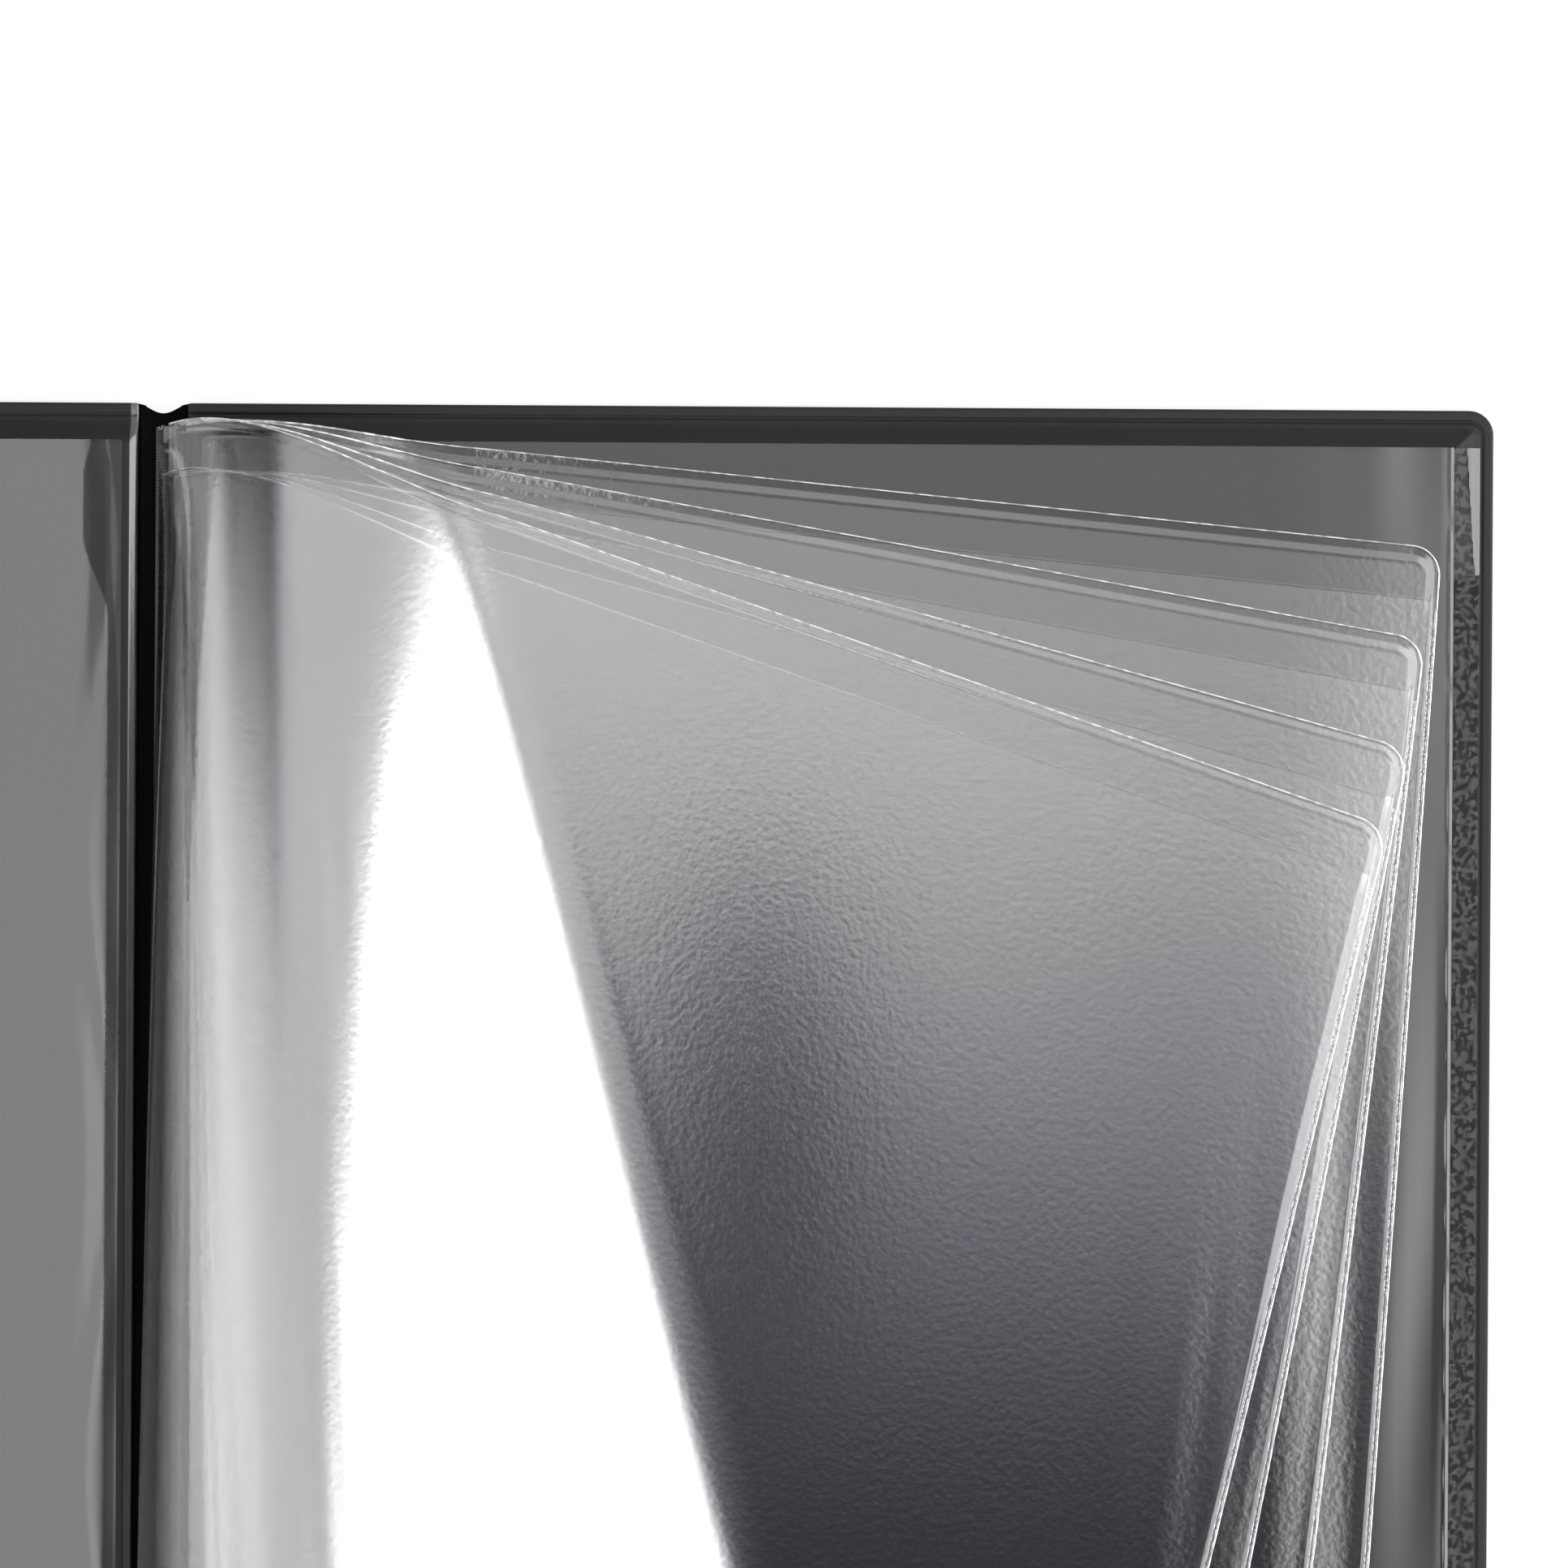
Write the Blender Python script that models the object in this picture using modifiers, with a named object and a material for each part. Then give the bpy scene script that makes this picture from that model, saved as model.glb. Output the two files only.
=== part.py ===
"""Menu cover lying open: two welded cover panels, a folding spine and four clear sleeves fanned over the back panel.

Metres, +Z up. The origin is the middle of the spine's underside, +X points to the back panel's outer edge and
+Y to the top of the page.
"""
import math

import bmesh
import bpy
import numpy as np
from mathutils import Matrix

# Cover panels
COVER_HEIGHT = 0.320
PANEL_WIDTH = 0.2288
OUTER_CORNER_RADIUS = 0.0043
INNER_CORNER_RADIUS = 0.0030
CORNER_STEPS = 5
FLANGE_WIDTH = 0.0022
SLOPE_WIDTH = 0.0052
SLOPE_STEPS = 4
SKIN_THICKNESS = 0.0008
BOARD_THICKNESS = 0.0015
LINING_THICKNESS = 0.0004
FILM_THICKNESS = 0.0002
FIT = 0.0003

# Clear pocket on each panel
POCKET_INSET = 0.0026
POCKET_TOP_DROP = 0.0066

# Spine
SPINE_NOTCH = 0.0017
SLEEVE_SHARE = 0.0008

# Sleeves: swing of the top edge and lean of the outer edge, in degrees, from the lowest sleeve to the top one
SLEEVE_SWING = (5.6, 10.0, 15.2, 19.0)
SLEEVE_LEAN = (3.75, 6.6, 10.7, 13.3)
SLEEVE_WIDTH = 0.2265
SLEEVE_HEIGHT = 0.311
SLEEVE_CORNER_RADIUS = 0.005
SLEEVE_TOP_DROP = 0.0043
SLEEVE_GAP = 0.0003
ROOT_PITCH = 0.0009
ROOT_SHIFT = 0.0007
LEAF_PITCH = 0.0018
FRONT_FILM_DROP = 0.009
FRONT_FILM_START = 0.008

# Bow of the sleeves over the spine
FAN_REACH = 0.0116
FAN_RISE = 0.0008
TOP_SLACK = 0.0012
SLACK_STEP = 0.0003
LANDING_TOP = 0.048
LANDING_STEP = 0.005
LANDING_GROWTH = 0.22
LANDING_GROWTH_STEP = 0.04

# Binding strip that holds the sleeves' roots
BINDING_THICKNESS = 0.0006
BINDING_MARGIN = 0.0004

# Mesh steps of a film
ARCH_COLUMNS = 16
LEAF_COLUMNS = 4
FILM_ROWS = 10
BOW_SAMPLES = 48
BOW_STEPS = 34

# Heights that follow from the layers
FLANGE_UNDERSIDE = SKIN_THICKNESS + FIT
FOLD_HEIGHT = FLANGE_UNDERSIDE + LINING_THICKNESS
BOARD_UNDERSIDE = SKIN_THICKNESS + FIT
LINING_UNDERSIDE = BOARD_UNDERSIDE + BOARD_THICKNESS + FIT
LINING_TOP = LINING_UNDERSIDE + LINING_THICKNESS
PANEL_TOP = LINING_TOP + FIT + FILM_THICKNESS
BINDING_UNDERSIDE = FOLD_HEIGHT + FIT
BINDING_TOP = BINDING_UNDERSIDE + BINDING_THICKNESS
ROOT_HEIGHT = BINDING_TOP + FIT
LEAF_HEIGHT = PANEL_TOP + 2 * FIT
FILM_PITCH = FILM_THICKNESS + SLEEVE_GAP

# Widths and places that follow
SLEEVE_COUNT = len(SLEEVE_SWING)
FOLD_SPAN = 2 * (PANEL_TOP - FOLD_HEIGHT) + SLEEVE_COUNT * SLEEVE_SHARE
FOLD_X = FOLD_SPAN / 2
COVER_AXIS_HEIGHT = FOLD_HEIGHT + FOLD_X
SPINE_WIDTH = FOLD_SPAN - 2 * FIT
PANEL_START = FOLD_X + FIT
PANEL_END = PANEL_START + PANEL_WIDTH
SPINE_LENGTH = COVER_HEIGHT - 2 * SPINE_NOTCH
ROOT_TOP = COVER_HEIGHT / 2 - SLEEVE_TOP_DROP
BINDING_WIDTH = (SLEEVE_COUNT - 1) * ROOT_PITCH + FILM_THICKNESS + 2 * BINDING_MARGIN
BINDING_MIDDLE = ROOT_TOP - SLEEVE_HEIGHT / 2
BINDING_LEFT = ROOT_SHIFT - BINDING_WIDTH / 2

BLACK_PVC = {"color": (0.012, 0.012, 0.014), "roughness": 0.5, "alpha": 1.0}
BLACK_LINING = {"color": (0.020, 0.020, 0.023), "roughness": 0.6, "alpha": 1.0}
GREY_BOARD = {"color": (0.30, 0.28, 0.25), "roughness": 0.9, "alpha": 1.0}
CLEAR_PVC = {"color": (0.80, 0.81, 0.84), "roughness": 0.12, "alpha": 0.25}


def clear_scene():
    for thing in list(bpy.data.objects):
        bpy.data.objects.remove(thing, do_unlink=True)


def make_collection(name):
    collection = bpy.data.collections.new(name)
    bpy.context.scene.collection.children.link(collection)
    return collection


def add_axis(collection, name, place, parent=None):
    """An empty on a joint's axis, placed in world terms."""
    empty = bpy.data.objects.new(name, None)
    empty.empty_display_size = 0.01
    collection.objects.link(empty)
    if parent is not None:
        empty.parent = parent
    offset = parent["place"] if parent is not None else (0.0, 0.0, 0.0)
    empty.location = [a - b for a, b in zip(place, offset)]
    empty["place"] = place
    return empty


def add_material(thing, look):
    material = bpy.data.materials.new(thing.name)
    material.use_nodes = True
    shader = material.node_tree.nodes["Principled BSDF"]
    shader.inputs["Base Color"].default_value = (*look["color"], 1.0)
    shader.inputs["Roughness"].default_value = look["roughness"]
    shader.inputs["Metallic"].default_value = 0.0
    shader.inputs["Alpha"].default_value = look["alpha"]
    material.diffuse_color = (*look["color"], look["alpha"])
    thing.data.materials.append(material)


def hang(thing, collection, axis, look):
    """Link a piece that was modelled in world terms, with its origin on its axis."""
    thing.data.transform(Matrix.Translation([-value for value in axis["place"]]))
    thing.parent = axis
    thing.location = (0.0, 0.0, 0.0)
    for other in list(thing.users_collection):
        other.objects.unlink(thing)
    collection.objects.link(thing)
    add_material(thing, look)
    return thing


def add_box(name, low, high):
    """A box between two corners."""
    bpy.ops.mesh.primitive_cube_add(size=1.0)
    box = bpy.context.object
    box.name = name
    box.data.name = name
    for vertex in box.data.vertices:
        for n in range(3):
            vertex.co[n] = low[n] + (vertex.co[n] + 0.5) * (high[n] - low[n])
    return box


def panel_loop(side, inset):
    """A panel's outline, drawn in by the inset, as points counter-clockwise from the lower right corner.

    Side is 1 for the back panel, at +X, and -1 for the front panel.
    """
    near = PANEL_START + inset
    far = PANEL_END - inset
    half = COVER_HEIGHT / 2 - inset
    outer = max(OUTER_CORNER_RADIUS - inset, FIT)
    inner = max(INNER_CORNER_RADIUS - inset, FIT)
    right, left = (far, near) if side > 0 else (-near, -far)
    right_radius, left_radius = (outer, inner) if side > 0 else (inner, outer)
    corners = (
        (right - right_radius, -half + right_radius, right_radius, -90.0),
        (right - right_radius, half - right_radius, right_radius, 0.0),
        (left + left_radius, half - left_radius, left_radius, 90.0),
        (left + left_radius, -half + left_radius, left_radius, 180.0),
    )
    points = []
    for x, y, radius, start in corners:
        for n in range(CORNER_STEPS + 1):
            turn = math.radians(start + 90.0 * n / CORNER_STEPS)
            points.append((x + radius * math.cos(turn), y + radius * math.sin(turn)))
    return points


def lining_levels(start):
    """Insets and undersides of the lining, from the flange's edge or a later start up to the board's flat."""
    levels = [(start, 0.0)]
    if start < FLANGE_WIDTH:
        levels.append((FLANGE_WIDTH, 0.0))
    rise = LINING_UNDERSIDE - FLANGE_UNDERSIDE
    for n in range(1, SLOPE_STEPS + 1):
        share = n / SLOPE_STEPS
        inset = FLANGE_WIDTH + SLOPE_WIDTH * share
        if inset > start:
            levels.append((inset, rise * (1 - math.cos(math.pi * share)) / 2))
    return levels


def loft_sheet(name, side, levels, height, thickness, top_cut=None):
    """A sheet through nested panel outlines, closed by a flat middle and thickened upwards."""
    bm = bmesh.new()
    last = None
    for inset, lift in levels:
        loop = [bm.verts.new((x, y, height + lift)) for x, y in panel_loop(side, inset)]
        if last is not None:
            for n in range(len(loop)):
                after = (n + 1) % len(loop)
                bm.faces.new((last[n], last[after], loop[after], loop[n]))
        last = loop
    bm.faces.new(last)
    if top_cut is not None:
        geometry = bm.verts[:] + bm.edges[:] + bm.faces[:]
        bmesh.ops.bisect_plane(bm, geom=geometry, plane_co=(0.0, top_cut, 0.0), plane_no=(0.0, 1.0, 0.0),
                               clear_outer=True)
    mesh = bpy.data.meshes.new(name)
    bm.to_mesh(mesh)
    bm.free()
    sheet = bpy.data.objects.new(name, mesh)
    thicken(sheet, thickness, 1.0)
    return sheet


def thicken(sheet, thickness, offset):
    solid = sheet.modifiers.new("Thickness", "SOLIDIFY")
    solid.thickness = thickness
    solid.offset = offset
    solid.use_even_offset = True


def add_flat_outline(name, points, thickness):
    """A flat sheet on the ground with the given outline."""
    curve = bpy.data.curves.new(name, "CURVE")
    curve.dimensions = "2D"
    curve.fill_mode = "BOTH"
    curve.extrude = thickness / 2
    spline = curve.splines.new("POLY")
    spline.points.add(len(points) - 1)
    for point, (x, y) in zip(spline.points, points):
        point.co = (x, y, 0.0, 1.0)
    spline.use_cyclic_u = True
    drawn = bpy.data.objects.new(name + "_outline", curve)
    bpy.context.scene.collection.objects.link(drawn)
    bpy.context.view_layer.update()
    evaluated = drawn.evaluated_get(bpy.context.evaluated_depsgraph_get())
    mesh = bpy.data.meshes.new_from_object(evaluated)
    bpy.data.objects.remove(drawn, do_unlink=True)
    bm = bmesh.new()
    bm.from_mesh(mesh)
    bmesh.ops.remove_doubles(bm, verts=bm.verts, dist=0.00001)
    bmesh.ops.translate(bm, verts=bm.verts, vec=(0.0, 0.0, thickness / 2))
    bmesh.ops.recalc_face_normals(bm, faces=bm.faces)
    bm.to_mesh(mesh)
    bm.free()
    mesh.name = name
    return bpy.data.objects.new(name, mesh)


def build_panel(collection, axis, side, prefix):
    """One cover panel: outer skin, board, lining and the clear pocket film welded over it."""
    skin = add_flat_outline(prefix + "_outer_skin", panel_loop(side, 0.0), SKIN_THICKNESS)
    hang(skin, collection, axis, BLACK_PVC)

    board_inset = FLANGE_WIDTH + SLOPE_WIDTH + LINING_THICKNESS
    ends = sorted((side * (PANEL_START + board_inset), side * (PANEL_END - board_inset)))
    half = COVER_HEIGHT / 2 - board_inset
    board = add_box(prefix + "_board", (ends[0], -half, BOARD_UNDERSIDE),
                    (ends[1], half, BOARD_UNDERSIDE + BOARD_THICKNESS))
    hang(board, collection, axis, GREY_BOARD)

    lining = loft_sheet(prefix + "_lining", side, lining_levels(0.0), FLANGE_UNDERSIDE, LINING_THICKNESS)
    hang(lining, collection, axis, BLACK_LINING)

    film = loft_sheet(prefix + "_pocket_film", side, lining_levels(POCKET_INSET),
                      FOLD_HEIGHT + FIT, FILM_THICKNESS, COVER_HEIGHT / 2 - POCKET_TOP_DROP)
    hang(film, collection, axis, CLEAR_PVC)


def build_spine(collection, axis):
    """The strip between the fold lines, shorter than the panels by a notch at each end."""
    half = (SPINE_WIDTH / 2, SPINE_LENGTH / 2)
    skin = add_box("spine_outer_skin", (-half[0], -half[1], 0.0), (half[0], half[1], SKIN_THICKNESS))
    hang(skin, collection, axis, BLACK_PVC)
    lining = add_box("spine_lining", (-half[0], -half[1], FLANGE_UNDERSIDE), (half[0], half[1], FOLD_HEIGHT))
    hang(lining, collection, axis, BLACK_LINING)


def build_binding(collection, axis):
    """The ribbed weld strip along the sleeves' roots."""
    strip = add_box("binding_strip", (BINDING_LEFT, BINDING_MIDDLE - SLEEVE_HEIGHT / 2, BINDING_UNDERSIDE),
                    (BINDING_LEFT + BINDING_WIDTH, BINDING_MIDDLE + SLEEVE_HEIGHT / 2, BINDING_TOP))
    hang(strip, collection, axis, CLEAR_PVC)


def bow_angle(share, start, crest):
    """Slope of a bowed row at a share of its length: steep at the root, level at the crest and where it lands."""
    return start * (1 - share) ** 2 * (1 + 2 * share) * (1 - (share / crest) ** 2)


def solve_bow(reach, rise):
    """Start angle and crest share of rows with the given reach and rise, both as shares of the row's length."""
    shares = ((np.arange(BOW_SAMPLES) + 0.5) / BOW_SAMPLES)[None, :]

    def solve_crest(start):
        low = np.full_like(reach, 0.05)
        high = np.full_like(reach, 6.0)
        for _ in range(BOW_STEPS):
            crest = (low + high) / 2
            angle = bow_angle(shares, start[:, None], crest[:, None])
            short = np.sin(angle).mean(axis=1) < rise
            low = np.where(short, crest, low)
            high = np.where(short, high, crest)
        return (low + high) / 2

    low = np.full_like(reach, 0.01)
    high = np.full_like(reach, 3.0)
    for _ in range(BOW_STEPS):
        start = (low + high) / 2
        crest = solve_crest(start)
        wide = np.cos(bow_angle(shares, start[:, None], crest[:, None])).mean(axis=1) > reach
        low = np.where(wide, start, low)
        high = np.where(wide, high, start)
    start = (low + high) / 2
    return start, solve_crest(start)


class Sleeve:
    """The middle surface of one sleeve's back film, from flat places: s from the root and t from the top edge."""

    def __init__(self, n):
        swing = math.radians(SLEEVE_SWING[n])
        lean = math.radians(SLEEVE_LEAN[n])
        self.along = np.array((math.cos(swing), -math.sin(swing)))
        self.down = np.array((-math.sin(lean), -math.cos(lean)))
        self.root_x = ROOT_SHIFT + ((SLEEVE_COUNT - 1) / 2 - n) * ROOT_PITCH
        self.pivot = np.array((ROOT_SHIFT + FAN_REACH, ROOT_TOP + FAN_RISE))
        self.slack = TOP_SLACK + n * SLACK_STEP
        self.pivot_s = math.hypot(self.pivot[0] - self.root_x, FAN_RISE) + self.slack
        self.landing = LANDING_TOP + n * LANDING_STEP
        self.growth = LANDING_GROWTH + n * LANDING_GROWTH_STEP + math.sin(lean)
        self.leaf_z = LEAF_HEIGHT + FILM_THICKNESS / 2 + n * LEAF_PITCH

    def places(self, s, t):
        """World places of arrays of flat places."""
        length = self.landing + self.growth * t + self.slack
        root = np.stack((np.full_like(t, self.root_x), ROOT_TOP - t), axis=1)
        land = self.pivot + (length - self.pivot_s)[:, None] * self.along + t[:, None] * self.down
        chord = land - root
        reach = np.linalg.norm(chord, axis=1)
        rows, back = np.unique(t, return_inverse=True)
        first = np.array([np.argmax(t == row) for row in rows])
        rise = (self.leaf_z - ROOT_HEIGHT) / length[first]
        start, crest = solve_bow(reach[first] / length[first], rise)
        run = np.minimum(s, length)
        shares = ((np.arange(BOW_SAMPLES) + 0.5) / BOW_SAMPLES)[None, :] * (run / length)[:, None]
        angle = bow_angle(shares, start[back][:, None], crest[back][:, None])
        out = run * np.cos(angle).mean(axis=1)
        up = run * np.sin(angle).mean(axis=1)
        plan = root + chord * (out / reach)[:, None] + np.maximum(s - length, 0.0)[:, None] * self.along
        return np.column_stack((plan, ROOT_HEIGHT + up))

    def offset_places(self, s, t, offset):
        """World places raised from the middle surface along its normal."""
        step = 0.0002
        middle = self.places(s, t)
        across = self.places(s + step, t) - middle
        down = self.places(s, t + step) - middle
        normal = np.cross(down, across)
        normal /= np.linalg.norm(normal, axis=1)[:, None]
        return middle + offset * normal


def film_columns():
    """Flat distances from the root: the front film's start, close over the bow, wider, then the corner's arc."""
    corner = SLEEVE_WIDTH - SLEEVE_CORNER_RADIUS
    bowed = LANDING_TOP + SLEEVE_COUNT * LANDING_STEP + LANDING_GROWTH * SLEEVE_HEIGHT / 2
    arch = [FRONT_FILM_START + (bowed - FRONT_FILM_START) * n / ARCH_COLUMNS for n in range(ARCH_COLUMNS)]
    leaf = [bowed + (corner - bowed) * n / LEAF_COLUMNS for n in range(LEAF_COLUMNS)]
    arc = [corner + SLEEVE_CORNER_RADIUS * math.sin(math.radians(angle)) for angle in (0, 30, 60, 90)]
    return np.array([0.0] + arch + leaf + arc)


def film_rows(columns):
    """Flat distances from the top edge, one row of them per mesh row: the top edge, the front film's edge, and on."""
    past = np.maximum(columns - (SLEEVE_WIDTH - SLEEVE_CORNER_RADIUS), 0.0)
    cut = SLEEVE_CORNER_RADIUS - np.sqrt(np.maximum(SLEEVE_CORNER_RADIUS ** 2 - past ** 2, 0.0))
    shares = np.linspace(0.0, 1.0, FILM_ROWS)[:, None]
    lower = FRONT_FILM_DROP + shares * (SLEEVE_HEIGHT - FRONT_FILM_DROP - cut)[None, :]
    return np.vstack((cut[None, :], lower))


def build_film(collection, axis, name, sleeve, skipped, offset):
    """One film of a sleeve, as a thickened grid that leaves out the skipped first rows and columns."""
    columns = film_columns()
    rows = film_rows(columns)[skipped:, skipped:]
    columns = columns[skipped:]
    height, width = rows.shape
    points = sleeve.offset_places(np.tile(columns, height), rows.ravel(), offset)
    faces = []
    for row in range(height - 1):
        for column in range(width - 1):
            corner = row * width + column
            below = corner + width
            faces.append((corner, below, below + 1))
            faces.append((corner, below + 1, corner + 1))
    mesh = bpy.data.meshes.new(name)
    mesh.from_pydata(points.tolist(), [], faces)
    mesh.update()
    film = bpy.data.objects.new(name, mesh)
    thicken(film, FILM_THICKNESS, 0.0)
    hang(film, collection, axis, CLEAR_PVC)
    mesh.shade_smooth()


def main():
    clear_scene()
    parts = make_collection("menu_cover")
    back = add_axis(parts, "back_cover_frame", (0.0, 0.0, 0.0))
    spine = add_axis(parts, "spine_fold_axis", (FOLD_X, 0.0, FOLD_HEIGHT), back)
    front = add_axis(parts, "front_cover_fold_axis", (0.0, 0.0, COVER_AXIS_HEIGHT), back)
    root_place = (BINDING_LEFT, 0.0, ROOT_HEIGHT)
    binding = add_axis(parts, "binding_frame", root_place, back)

    build_panel(parts, back, 1, "back_cover")
    build_panel(parts, front, -1, "front_cover")
    build_spine(parts, spine)
    build_binding(parts, binding)

    carrier = binding
    for n in range(SLEEVE_COUNT):
        name = "sleeve_%d" % (n + 1)
        carrier = add_axis(parts, name + "_lift_axis", root_place, carrier)
        sleeve = Sleeve(n)
        build_film(parts, carrier, name + "_back_film", sleeve, 0, 0.0)
        build_film(parts, carrier, name + "_front_film", sleeve, 1, FILM_PITCH)


main()
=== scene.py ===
from math import radians, atan

import bpy
import numpy as np
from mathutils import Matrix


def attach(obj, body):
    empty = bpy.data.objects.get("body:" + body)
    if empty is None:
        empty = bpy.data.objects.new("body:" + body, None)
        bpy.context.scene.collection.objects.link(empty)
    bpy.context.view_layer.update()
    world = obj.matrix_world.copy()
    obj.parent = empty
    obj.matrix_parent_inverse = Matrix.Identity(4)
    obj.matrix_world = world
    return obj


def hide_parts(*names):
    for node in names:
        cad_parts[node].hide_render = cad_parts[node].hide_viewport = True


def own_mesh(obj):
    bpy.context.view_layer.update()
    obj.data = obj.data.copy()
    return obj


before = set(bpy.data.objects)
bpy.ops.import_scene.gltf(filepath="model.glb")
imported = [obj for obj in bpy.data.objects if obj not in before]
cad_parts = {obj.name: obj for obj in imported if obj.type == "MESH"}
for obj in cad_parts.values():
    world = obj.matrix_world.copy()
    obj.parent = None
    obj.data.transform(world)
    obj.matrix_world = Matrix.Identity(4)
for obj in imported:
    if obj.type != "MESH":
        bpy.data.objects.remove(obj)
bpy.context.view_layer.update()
scene = bpy.context.scene
mm = 0.001
print("frame loaded:", len(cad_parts), "nodes")


# small helpers shared by every piece
def addObject(name, points, faces, material):
    mesh = bpy.data.meshes.new(name)
    mesh.from_pydata(np.asarray(points, float).reshape(-1, 3).tolist(), [], np.asarray(faces).tolist())
    mesh.polygons.foreach_set("use_smooth", np.ones(len(mesh.polygons), bool))
    mesh.materials.append(material)
    mesh.update()
    thing = bpy.data.objects.new(name, mesh)
    scene.collection.objects.link(thing)
    return thing


def gridFaces(rows, columns, facing=1):
    # quads between neighbouring rows and columns; rows run down the page, so the quads face up, or down at -1
    index = np.arange(rows * columns).reshape(rows, columns)
    quads = [index[:-1, :-1], index[1:, :-1], index[1:, 1:], index[:-1, 1:]]
    return np.stack(quads, axis=-1).reshape(-1, 4)[:, ::facing]


def paint(thing, material, share):
    # faces whose mean share passes one half take this further material
    mesh = thing.data
    mesh.materials.append(material)
    corners = np.zeros(len(mesh.polygons) * 4, np.int32)
    mesh.loops.foreach_get("vertex_index", corners)
    index = np.zeros(len(mesh.polygons), np.int32)
    mesh.polygons.foreach_get("material_index", index)
    index[np.asarray(share, float).ravel()[corners].reshape(-1, 4).mean(1) > 0.5] = len(mesh.materials) - 1
    mesh.polygons.foreach_set("material_index", index)


def addWall(thing, thickness):
    # gives a surface its thickness, behind it
    wall = thing.modifiers.new("thickness", "SOLIDIFY")
    wall.thickness = thickness
    wall.offset = -1


def steps(*stretches):
    # joins stretches (from, to, spacing) into one run of values
    run = [np.linspace(a, b, max(2, int(round(abs(b - a) / gap)) + 1))[:-1] for a, b, gap in stretches]
    return np.concatenate(run + [[stretches[-1][1]]])


def edgedSteps(length, near, spacing, far):
    # steps along a length: near and far are stretches counted from its two ends, with an even spacing between
    front = steps(*near, (near[-1][1], length - far[-1][1], spacing))
    return np.concatenate([front[:-1], length - steps(*far)[::-1]])


def smooth(low, high, value):
    # smooth step from 0 at low to 1 at high
    share = np.clip((value - low) / (high - low), 0, 1)
    return share * share * (3 - 2 * share)


def bump(value, centre, width):
    # bell of height 1
    return np.exp(-((value - centre) / width) ** 2)


def heightFromSlopes(slopes, distance):
    # slopes are (distance in mm, slope) pairs; the height is their running sum, zero at the far end
    places, values = np.array(slopes).T
    fine = np.arange(0, places[-1], 0.01)
    heights = np.cumsum(np.interp(fine, places, values)) * 0.01
    return np.interp(distance / mm, fine, heights - heights[-1], right=0.0) * mm


def roundCorner(a, b, radius):
    # a and b are the distances from the two edges of a corner; square rings become quarter circles:
    # a ring at distance d keeps that distance and turns about the corner's centre
    inside = (a < radius) & (b < radius)
    near = np.minimum(a, b)
    far = np.maximum(a, b)
    room = np.maximum(radius - near, 1e-9)
    turn = np.pi / 4 * np.clip((radius - far) / room, 0, 1)
    long, short = radius - room * np.sin(turn), radius - room * np.cos(turn)
    newA = np.where(inside, np.where(a >= b, long, short), a)
    newB = np.where(inside, np.where(a >= b, short, long), b)
    return newA, newB


# node groups and materials
def addSocket(group, name, kind, way):
    return group.interface.new_socket(name=name, in_out=way, socket_type=kind)


grainLook = {"fineRatio": 2.3, "fineDetail": 3.0, "fineShare": 0.6, "cloudScale": 60.0,
             "cloudSpan": (0.3, 0.7), "cloudRoughness": 0.02, "coatRoughness": 0.2}


def makeGrainGroup():
    # leather-like grain: cells for the pores, fine noise over them; gives a height and a 0..1 shade
    group = bpy.data.node_groups.new("vinylGrain", "ShaderNodeTree")
    addSocket(group, "Scale", "NodeSocketFloat", "INPUT")
    addSocket(group, "Height", "NodeSocketFloat", "OUTPUT")
    addSocket(group, "Shade", "NodeSocketFloat", "OUTPUT")
    nodes, links = group.nodes, group.links
    source, sink = nodes.new("NodeGroupInput"), nodes.new("NodeGroupOutput")
    place = nodes.new("ShaderNodeTexCoord")
    cells = nodes.new("ShaderNodeTexVoronoi")
    cells.feature = "SMOOTH_F1"
    fine = nodes.new("ShaderNodeTexNoise")
    fine.inputs["Detail"].default_value = grainLook["fineDetail"]
    cloud = nodes.new("ShaderNodeTexNoise")
    cloud.inputs["Scale"].default_value = grainLook["cloudScale"]
    finer = nodes.new("ShaderNodeMath")
    finer.operation = "MULTIPLY"
    finer.inputs[1].default_value = grainLook["fineRatio"]
    total = nodes.new("ShaderNodeMath")
    total.operation = "MULTIPLY_ADD"
    total.inputs[1].default_value = grainLook["fineShare"]
    for texture in (cells, fine, cloud):
        links.new(place.outputs["Object"], texture.inputs["Vector"])
    links.new(source.outputs["Scale"], cells.inputs["Scale"])
    links.new(source.outputs["Scale"], finer.inputs[0])
    links.new(finer.outputs[0], fine.inputs["Scale"])
    links.new(fine.outputs[0], total.inputs[0])
    links.new(cells.outputs["Distance"], total.inputs[2])
    links.new(total.outputs[0], sink.inputs["Height"])
    links.new(cloud.outputs[0], sink.inputs["Shade"])
    return group


vinylGrain = makeGrainGroup()


def newMaterial(name):
    material = bpy.data.materials.new(name)
    material.use_nodes = True
    nodes, links = material.node_tree.nodes, material.node_tree.links
    return material, nodes, links, nodes["Principled BSDF"]


def addMath(nodes, links, operation, first, second=0.0, third=None):
    node = nodes.new("ShaderNodeMath")
    node.operation = operation
    for slot, value in enumerate((first, second, third)):
        if value is None:
            continue
        if hasattr(value, "is_output"):
            links.new(value, node.inputs[slot])
        else:
            node.inputs[slot].default_value = value
    return node.outputs[0]


def mapRange(nodes, links, value, low, high, toLow, toHigh):
    node = nodes.new("ShaderNodeMapRange")
    node.interpolation_type = "SMOOTHSTEP"
    links.new(value, node.inputs["Value"])
    node.inputs["From Min"].default_value = low
    node.inputs["From Max"].default_value = high
    node.inputs["To Min"].default_value = toLow
    node.inputs["To Max"].default_value = toHigh
    return node.outputs["Result"]


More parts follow.
